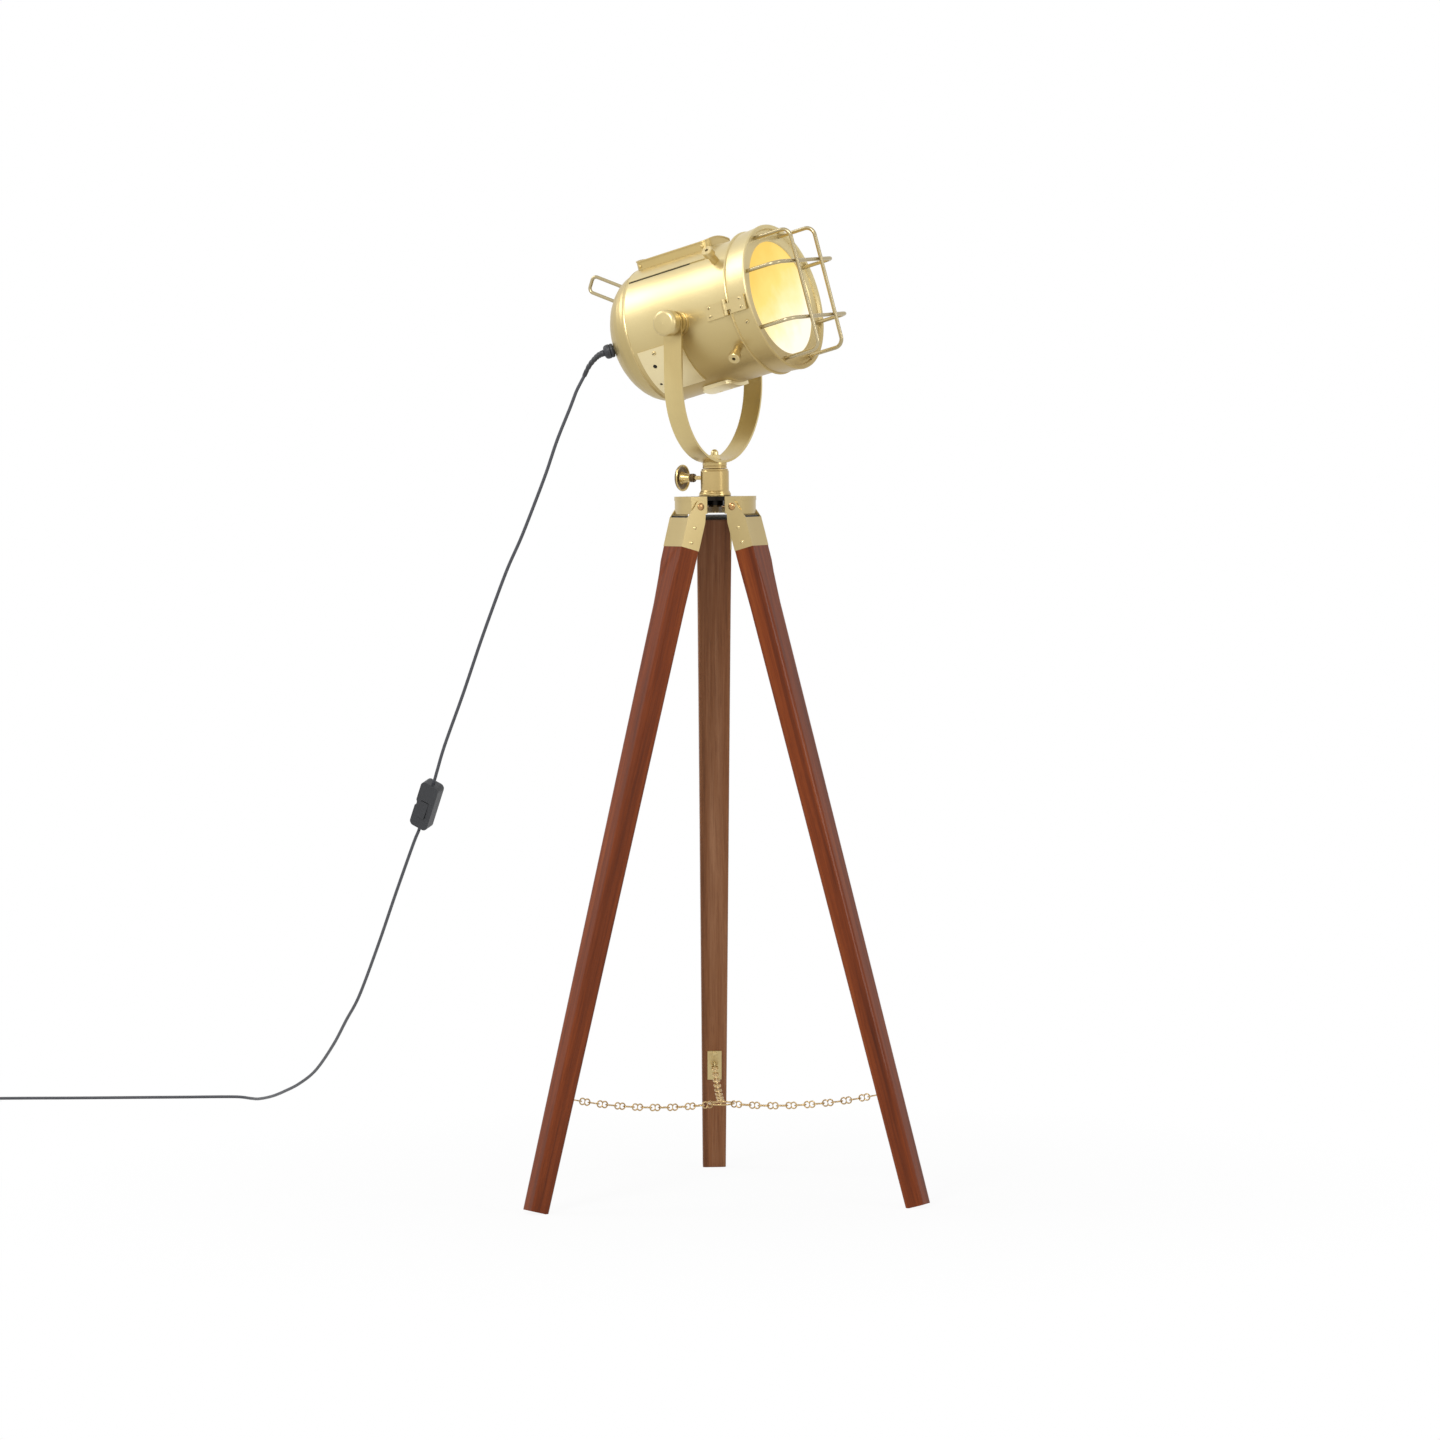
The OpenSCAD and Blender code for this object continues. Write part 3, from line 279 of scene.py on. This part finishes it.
def distance_out(tree, start, end):
    """0 to 1 from one distance to another from the stem's axis."""
    place = tree.nodes.new("ShaderNodeTexCoord")
    flat = tree.nodes.new("ShaderNodeVectorMath")
    flat.operation = "MULTIPLY"
    flat.inputs[1].default_value = (1, 1, 0)
    long = tree.nodes.new("ShaderNodeVectorMath")
    long.operation = "LENGTH"
    tree.links.new(place.outputs["Object"], flat.inputs[0])
    tree.links.new(flat.outputs["Vector"], long.inputs[0])
    return spread(tree, long.outputs["Value"], 0, 1, start, end)


def noise_of(tree, vector, scale, detail=3, rough=0.5, distortion=0.0):
    node = tree.nodes.new("ShaderNodeTexNoise")
    node.inputs["Scale"].default_value = scale
    node.inputs["Detail"].default_value = detail
    node.inputs["Roughness"].default_value = rough
    node.inputs["Distortion"].default_value = distortion
    tree.links.new(vector, node.inputs["Vector"])
    return node.outputs["Fac"]


def ramp(tree, value, stops):
    node = tree.nodes.new("ShaderNodeValToRGB")
    node.color_ramp.elements[0].position = stops[0][0]
    node.color_ramp.elements[0].color = (*stops[0][1], 1)
    node.color_ramp.elements[1].position = stops[-1][0]
    node.color_ramp.elements[1].color = (*stops[-1][1], 1)
    for position, colour in stops[1:-1]:
        element = node.color_ramp.elements.new(position)
        element.color = (*colour, 1)
    tree.links.new(value, node.inputs["Fac"])
    return node.outputs["Color"]


def spread(tree, value, low, high, start=0.3, end=0.7):
    node = tree.nodes.new("ShaderNodeMapRange")
    for key, number in (("From Min", start), ("From Max", end), ("To Min", low), ("To Max", high)):
        node.inputs[key].default_value = number
    tree.links.new(value, node.inputs["Value"])
    return node.outputs["Result"]


def blend_colours(tree, mode, amount, a, b):
    node = tree.nodes.new("ShaderNodeMix")
    node.data_type = "RGBA"
    node.blend_type = mode
    if isinstance(amount, (int, float)):
        node.inputs["Factor"].default_value = amount
    else:
        tree.links.new(amount, node.inputs["Factor"])
    for socket, colour in ((node.inputs[6], a), (node.inputs[7], b)):
        if isinstance(colour, tuple):
            socket.default_value = (*colour, 1)
        else:
            tree.links.new(colour, socket)
    return node.outputs[2]


def bump(tree, surface, height, strength, distance):
    node = tree.nodes.new("ShaderNodeBump")
    node.inputs["Strength"].default_value = strength
    node.inputs["Distance"].default_value = distance
    tree.links.new(height, node.inputs["Height"])
    tree.links.new(node.outputs["Normal"], surface.inputs["Normal"])


def brass(name, light, dark, rough=(0.3, 0.36), stretch=(1, 1, 1), mask=None, other=None):
    """Lacquered satin brass: cloudy tone and fine brushing; its colour is other where mask is 0."""
    material, tree, surface = shader(name, Metallic=0.8)
    clouds = noise_of(tree, coordinates(tree), 7, 2, 0.4)
    brushed = noise_of(tree, coordinates(tree, stretch), 520, 3, 0.6)
    tone = ramp(tree, clouds, [(0.36, dark), (0.64, light)])
    streak = ramp(tree, brushed, [(0.3, (0.93, 0.93, 0.93)), (0.7, (1, 1, 1))])
    colour = blend_colours(tree, "MULTIPLY", 0.5, tone, streak)
    if mask:
        colour = blend_colours(tree, "MIX", mask(tree), other, colour)
    tree.links.new(colour, surface.inputs["Base Color"])
    tree.links.new(spread(tree, brushed, *rough), surface.inputs["Roughness"])
    bump(tree, surface, brushed, 0.06, 0.0002)
    return material


def linear(*srgb):
    return tuple(((c / 255 + 0.055) / 1.055) ** 2.4 if c > 10 else c / 255 / 12.92 for c in srgb)


KNOB_WAY = Vector((-math.cos(PAN), -math.sin(PAN), 0))
BELLY = UP.dot(BEAM.translation)
KNOB_RIM = (0.0538, 0.0542)
HUB_SHADE_RIM = (0.0354, 0.0362)
PIN_TOP = (0.984, 0.986)
LEG_TOP_SHADE = (0.9785, 0.9815)
# Near black used as painted shade, in the hub's hollow and on the legs' tops under the hub.
SHADE_DARK = linear(26, 22, 17)

# The drum's brass turns darker below the beam's axis, on its underside: painted shade. The bezel,
# vent cover and tilt knobs use it too.
DRUM_BRASS_SHADED = brass("brass_drum_painted_shade", linear(222, 205, 154), linear(212, 194, 142), (0.34, 0.4),
                   mask=lambda tree: distance_along(tree, UP, BELLY - 0.1, BELLY + 0.03),
                   other=linear(178, 154, 98))
# A darker copy of the brass for the dome: painted shade.
DOME_BRASS_SHADED = brass("brass_dome_painted_shade", linear(200, 181, 130), linear(186, 166, 114), (0.36, 0.42))
# A lighter copy of the brass for the side and base plates: painted light.
LIT_BRASS = brass("brass_painted_light", linear(236, 221, 176), linear(226, 209, 162), (0.3, 0.38))
# A darker copy of the brass for the vent cap's walls, the spacers, washer, glass ring and studs:
# painted shade.
CAP_BRASS_SHADED = brass("brass_cap_painted_shade", linear(206, 184, 126), linear(190, 166, 108), (0.32, 0.4))
BRASS = brass("brass_satin", linear(216, 197, 145), linear(202, 181, 128))
STRAP_BRASS = brass("brass_strap", linear(214, 194, 138), linear(200, 178, 122), stretch=(1, 1, 12))
CAST_BRASS = brass("brass_turned", linear(212, 188, 132), linear(186, 160, 104), (0.18, 0.26),
                   (1, 1, 0.3))
BRACKET_BRASS = brass("brass_bracket", linear(204, 184, 132), linear(186, 165, 114), (0.28, 0.38))
# Inside the boss's radius the hub is coloured near black: painted shade in its hollow.
HUB_BRASS = brass("brass_hub", linear(204, 184, 132), linear(186, 165, 114), (0.28, 0.38),
                  mask=lambda tree: distance_out(tree, *HUB_SHADE_RIM), other=SHADE_DARK)
ROD_BRASS = brass("brass_rod", linear(192, 178, 142), linear(176, 161, 124), (0.22, 0.32))
CHAIN_BRASS = brass("brass_chain", linear(200, 172, 122), linear(168, 138, 92), (0.18, 0.3))
NUT_BRASS = brass("brass_bright", linear(232, 214, 160), linear(220, 198, 142), (0.14, 0.22))
PIN_BRASS = brass("brass_pins", linear(198, 158, 108), linear(172, 132, 84), (0.16, 0.28),
                  mask=lambda tree: distance_along(tree, (0, 0, 1), *PIN_TOP),
                  other=linear(206, 186, 134))
DARK_BRONZE = brass("bronze_dark", linear(104, 84, 52), linear(66, 52, 32), (0.22, 0.34))
KNOB_BRONZE = brass("bronze_knob", linear(104, 84, 52), linear(66, 52, 32), (0.22, 0.34),
                    mask=lambda tree: distance_along(tree, KNOB_WAY, *KNOB_RIM),
                    other=linear(204, 180, 122))
STEEL = brass("nickel_pins", linear(205, 203, 198), linear(180, 178, 172), (0.2, 0.3))


def wood(name, azimuth, light_and_shade_tint, gloss):
    """Varnished red-brown hardwood, its grain along one leg, with painted shade making its top near
    black under the hub.
    """
    material, tree, surface = shader(
        name, Specular_IOR_Level=0.1, Coat_Weight=gloss, Coat_Roughness=0.05, Coat_IOR=1.45
    )
    place = coordinates(tree, (1, 1, 34), (0, -LEG_LEAN, math.radians(azimuth)))
    broad = noise_of(tree, place, 46, 4, 0.6, 0.4)
    fine = noise_of(tree, place, 420, 4, 0.65, 0.15)
    pores = noise_of(tree, place, 1100, 2, 0.5)
    # The tint lightens or darkens this leg's copy of the wood: painted light and shade.
    shades = [
        tuple(c * t for c, t in zip(linear(*tone), light_and_shade_tint))
        for tone in ((84, 36, 10), (122, 58, 20), (146, 78, 34))
    ]
    base = ramp(tree, broad, [(0.3, shades[0]), (0.5, shades[1]), (0.72, shades[2])])
    streak = ramp(tree, fine, [(0.34, (0.66, 0.58, 0.52)), (0.56, (1, 1, 1))])
    toned = blend_colours(tree, "MULTIPLY", 0.6, base, streak)
    dots = ramp(tree, pores, [(0.32, (0.5, 0.42, 0.38)), (0.42, (1, 1, 1))])
    grain = blend_colours(tree, "MULTIPLY", 0.4, toned, dots)
    # Near black at the leg's top under the hub: painted shade.
    shade_under_hub = distance_along(tree, (0, 0, 1), *LEG_TOP_SHADE)
    tree.links.new(blend_colours(tree, "MIX", shade_under_hub, grain, SHADE_DARK), surface.inputs["Base Color"])
    tree.links.new(spread(tree, fine, 0.34, 0.46), surface.inputs["Roughness"])
    bump(tree, surface, fine, 0.05, 0.0003)
    return material


def moulded(name, colour, rough, scale=700, strength=0.15):
    material, tree, surface = shader(name, Specular_IOR_Level=0.5)
    speck = noise_of(tree, coordinates(tree), scale, 3, 0.6)
    lighter = tuple(min(1, c * 1.5) for c in colour)
    tone = ramp(tree, speck, [(0.35, colour), (0.7, lighter)])
    tree.links.new(tone, surface.inputs["Base Color"])
    tree.links.new(spread(tree, speck, rough - 0.06, rough + 0.08), surface.inputs["Roughness"])
    bump(tree, surface, speck, strength, 0.0003)
    return material


CORD = moulded("cord_sheath", linear(66, 67, 72), 0.5)
BLACK = moulded("plastic_black", linear(42, 43, 46), 0.45)
# Near black for screw slots, holes and the vent cover's seam line: painted shade.
SHADE_BLACK = moulded("painted_shade_black", linear(20, 18, 15), 0.8)
PORCELAIN = moulded("porcelain", linear(238, 234, 224), 0.18, 60, 0.02)


def painted_glow(name, strength, colour, **values):
    """Glow painted into the emission for the bulb's light: amber on the near upper side, near white
    low on the far side.
    """
    material, tree, surface = shader(name, **values)
    surface.inputs["Base Color"].default_value = (*colour, 1)
    way = FAR * 0.5 - UP * 0.85
    middle = way.dot(BEAM.translation)
    place = distance_along(tree, way, middle - 0.09, middle + 0.09)
    cloud = noise_of(tree, coordinates(tree), 24, 3, 0.6)
    glow_spread = blend_colours(tree, "MIX", 0.25, place, cloud)
    glow = ramp(tree, glow_spread, [
        (0.22, linear(242, 205, 104)), (0.42, linear(250, 222, 128)), (0.58, linear(255, 241, 186)),
        (0.75, linear(255, 254, 244)),
    ])
    tree.links.new(glow, surface.inputs["Emission Color"])
    surface.inputs["Emission Strength"].default_value = strength
    return material


# The bulb is the lamp; the reflector and glass glow though they are no lamps: painted light.
BULB = painted_glow("bulb_frosted", 0.8, linear(255, 240, 205), Roughness=0.4)
REFLECTOR = painted_glow("reflector_spun_painted_glow", 0.35, linear(150, 140, 112), Metallic=0.5, Roughness=0.4)
GLASS = painted_glow("glass_painted_glow", 0.92, linear(112, 92, 52), Roughness=0.5, IOR=1.2,
                Transmission_Weight=0.3, Specular_IOR_Level=0.2)

# Each leg gets its own tint as painted light and shade; the back leg's copy is painted much lighter
# and paler.
WOODS = {
    1: wood("wood_back_painted_light", 90, (1.35, 2.5, 6), 0.1),
    2: wood("wood_left", 210, (1.05, 0.95, 0.9), 0.22),
    3: wood("wood_right", 330, (1.1, 0.98, 0.9), 0.22),
}

FINISH = {
    DOME_BRASS_SHADED: ["dome"],
    DRUM_BRASS_SHADED: ["drum", "bezel", "vent_cover", "tilt_knob_near", "tilt_knob_far"],
    LIT_BRASS: ["side_plate", "base_plate"],
    CAP_BRASS_SHADED: ["vent_cap", "tilt_spacers", "swivel_washer", "glass_ring", "tilt_studs"],
    BRASS: ["sight_posts", "hinge_leaf_drum", "hinge_leaf_bezel", "door_tab", "door_catch",
            "door_pin"],
    STRAP_BRASS: ["yoke"],
    CAST_BRASS: ["stem", "swivel", "clamp_screw"],
    BRACKET_BRASS: [f"{piece}_{k}" for piece in ("bracket", "chain_plate") for k in (1, 2, 3)],
    HUB_BRASS: ["hub"],
    ROD_BRASS: ["cage", "rear_handle"],
    CHAIN_BRASS: ["chain_ring"],
    NUT_BRASS: ["acorn_nut"],
    PIN_BRASS: [f"leg_pins_{k}" for k in (1, 2, 3)],
    DARK_BRONZE: ["clamp_lock_nut", "stem_nut"],
    KNOB_BRONZE: ["clamp_knob"],
    STEEL: ["plug_pins"],
    BLACK: ["gland", "switch_body", "switch_rocker", "plug_body"],
    PORCELAIN: ["lamp_holder"],
    BULB: ["bulb"],
    REFLECTOR: ["reflector"],
    GLASS: ["glass"],
}
for material, names in FINISH.items():
    for name in names:
        nodes[name].data.materials.clear()
        nodes[name].data.materials.append(material)
for k, material in WOODS.items():
    nodes[f"leg_{k}"].data.materials.clear()
    nodes[f"leg_{k}"].data.materials.append(material)

# ---------------------------------------------------------------- cord, its tail to the plug, and its relief

def add_cord():
    path = smooth(shifted(ROUTE), 8)
    coil = smooth(coil_points(), 3)
    path = path + coil
    bm = bmesh.new()
    sweep(bm, path, CORD_R - 0.00005, 12, Vector((0.6, 0.6, 0.5)))
    cord = make("cord_run", bm, CORD, smooth_angle=80)
    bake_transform(cord)
    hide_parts("cord_head", "cord_upper", "cord_lower", "cord_coil")


def add_relief():
    path = smooth(shifted(RELIEF), 12)
    count = len(path) - 1
    radii = []
    for i in range(count + 1):
        t = i / count
        groove = 0.00045 if i % 6 in (3, 4) and 4 < i < count - 3 else 0
        radii.append(0.0049 + (0.0032 - 0.0049) * t - groove)
    bm = bmesh.new()
    sweep(bm, path, radii, 24, Vector((0.6, 0.6, 0.5)))
    relief = make("cord_relief", bm, BLACK, "head", 60)
    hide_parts("strain_relief")


add_cord()
add_relief()

# ---------------------------------------------------------------- chains, drawn from leg to ring

def add_chain(k):
    source = nodes[f"chain_{k}"]
    mesh = source.data.copy()
    mesh.materials.clear()
    mesh.materials.append(CHAIN_BRASS)
    chain = bpy.data.objects.new(f"chain_run_{k}", mesh)
    bpy.context.scene.collection.objects.link(chain)
    for polygon in mesh.polygons:
        polygon.use_smooth = True
    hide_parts(f"chain_{k}")
    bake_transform(chain)


for k in (1, 2, 3):
    add_chain(k)

# ---------------------------------------------------------------- small fasteners, and painted shade in slots, holes and along the vent cover's seam

def screw(bm, place, r, h):
    dome = [(1, 0), (0.94, 0.4), (0.75, 0.75), (0.4, 0.96), (0, 1)]
    turn_about(bm, [(r, -0.0006)] + [(r * across, h * up) for across, up in dome], place, 20)


# A dark bar in a screw's head: the painted shade of its slot.
def slot_shade(bm, place, r, h):
    box(bm, (r * 1.7, r * 0.3, h * 0.5), place @ Matrix.Translation((0, 0, h * 0.82)))


def disc(bm, place, r):
    turn_about(bm, [(r, 0), (r, 0.0001), (0, 0.0001)], place, 20)


SEAM_ANGLE = 49.4
SEAM_RADIUS = 99.2
# each a dark disc, the painted shade of a hole: mm ahead, degrees up from the near side, mm from
# the beam's axis, radius of the hole in mm
HOLE_SHADES = (
    (-61.4, -32.7, 99.5, 3.1),
    (-70, -51, 99.5, 2.1),
    (67, 42, 115.2, 2.5),
    (72, -40, 115.2, 2.5),
)


def seam_shadow_points(near):
    """Painted shadow line under the edge of the vent cover along the drum, on the near side or
    mirrored to the far one.
    """
    points = []
    for a in range(-84, 24, 4):
        point, _ = on_beam(a, SEAM_ANGLE, SEAM_RADIUS)
        if not near:
            point = point + FAR * 2 * (BEAM.translation - point).dot(FAR)
        points.append(point)
    return points


def add_screws():
    heads = bmesh.new()
    shade_marks = bmesh.new()
    point, out = on_beam(-53.3, -21.6, 100.6)
    place = stand_on(point, out, math.radians(35))
    screw(heads, place, 0.0032, 0.0016)
    slot_shade(shade_marks, place, 0.0032, 0.0016)
    for z, turn in ((-13, 20), (0, 70)):
        point = BEAM @ Vector((0.055, -DRUM_R - 0.0021, z / 1000))
        slot_shade(shade_marks, stand_on(point, -FAR, math.radians(turn)), 0.0026, 0.001)
    for a, angle, radius, r in HOLE_SHADES:
        point, out = on_beam(a, angle, radius)
        disc(shade_marks, stand_on(point, out), r / 1000)
    # Thin dark lines along the vent cover's edges: painted shadow.
    for near in (True, False):
        sweep(shade_marks, seam_shadow_points(near), 0.0006, 6)
    heads_piece = make("head_screws", heads, BRASS, "head")
    marks_piece = make("head_shade_marks", shade_marks, SHADE_BLACK, "head")


def add_door_screws():
    heads = bmesh.new()
    shade_marks = bmesh.new()
    point, out = on_beam(110, -19, 105.6)
    place = stand_on(point, out, math.radians(50))
    screw(heads, place, 0.0030, 0.0016)
    slot_shade(shade_marks, place, 0.0030, 0.0016)
    for z, turn in ((-13, 60), (-1, 15)):
        point = BEAM @ Vector((0.1116, -0.107 - 0.0031, z / 1000))
        slot_shade(shade_marks, stand_on(point, -FAR, math.radians(turn)), 0.0026, 0.001)
    heads_piece = make("door_screws", heads, BRASS, "door")
    marks_piece = make("door_shade_marks", shade_marks, SHADE_BLACK, "door")


add_screws()
add_door_screws()

# ---------------------------------------------------------------- floor, world and lamps

def seen_rays(tree):
    """1 for rays that show the background: straight to the camera, through glass or off metal."""
    rays = tree.nodes.new("ShaderNodeLightPath")
    value = rays.outputs["Is Camera Ray"]
    for name in ("Is Transmission Ray", "Is Glossy Ray"):
        larger = tree.nodes.new("ShaderNodeMath")
        larger.operation = "MAXIMUM"
        tree.links.new(value, larger.inputs[0])
        tree.links.new(rays.outputs[name], larger.inputs[1])
        value = larger.outputs[0]
    return value


def add_floor():
    bm = bmesh.new()
    bmesh.ops.create_grid(bm, x_segments=1, y_segments=1, size=30)
    for v in bm.verts:
        v.co.z -= 0.0004
    mesh = bpy.data.meshes.new("floor")
    bm.to_mesh(mesh)
    bm.free()
    floor = bpy.data.objects.new("floor", mesh)
    bpy.context.scene.collection.objects.link(floor)
    material = bpy.data.materials.new("floor_pale")
    material.use_nodes = True
    tree = material.node_tree
    tree.nodes.clear()
    diffuse = tree.nodes.new("ShaderNodeBsdfDiffuse")
    diffuse.inputs["Color"].default_value = (0.84, 0.84, 0.84, 1)
    glow = tree.nodes.new("ShaderNodeEmission")
    glow.inputs["Strength"].default_value = 1.0
    white = tree.nodes.new("ShaderNodeMath")
    white.operation = "MULTIPLY"
    tree.links.new(seen_rays(tree), white.inputs[0])
    reach = distance_out(tree, 0.35, 1.1)
    tree.links.new(spread(tree, reach, 0.93, 1.0, 0, 1), white.inputs[1])
    mix = tree.nodes.new("ShaderNodeMixShader")
    tree.links.new(white.outputs[0], mix.inputs["Fac"])
    tree.links.new(diffuse.outputs[0], mix.inputs[1])
    tree.links.new(glow.outputs[0], mix.inputs[2])
    out = tree.nodes.new("ShaderNodeOutputMaterial")
    tree.links.new(mix.outputs[0], out.inputs["Surface"])
    mesh.materials.append(material)


def add_world():
    world = bpy.data.worlds.new("studio")
    world.use_nodes = True
    tree = world.node_tree
    tree.nodes.clear()
    plain = tree.nodes.new("ShaderNodeBackground")
    plain.inputs["Strength"].default_value = 0.45
    white = tree.nodes.new("ShaderNodeBackground")
    white.inputs["Strength"].default_value = 1.0
    for node in (plain, white):
        node.inputs["Color"].default_value = (1, 1, 1, 1)
    mix = tree.nodes.new("ShaderNodeMixShader")
    tree.links.new(seen_rays(tree), mix.inputs["Fac"])
    tree.links.new(plain.outputs[0], mix.inputs[1])
    tree.links.new(white.outputs[0], mix.inputs[2])
    out = tree.nodes.new("ShaderNodeOutputWorld")
    tree.links.new(mix.outputs[0], out.inputs["Surface"])
    bpy.context.scene.world = world


def add_lamp(name, at, size, power, aim=(0, 0, 0.8)):
    light = bpy.data.lights.new(name, "AREA")
    light.shape = "DISK"
    light.size = size
    light.energy = power
    lamp = bpy.data.objects.new(name, light)
    lamp.location = at
    lamp.rotation_euler = (Vector(aim) - Vector(at)).to_track_quat("-Z", "Y").to_euler()
    bpy.context.scene.collection.objects.link(lamp)


add_floor()
add_world()
add_lamp("key", (-1.6, -3.2, 3.2), 1.2, 75)
add_lamp("side", (-3.0, 0.5, 3.4), 1.8, 42, (0, 0, 1.2))
add_lamp("fill", (3.2, -2.6, 2.0), 1.6, 30)

bpy.context.scene.view_settings.view_transform = "Standard"
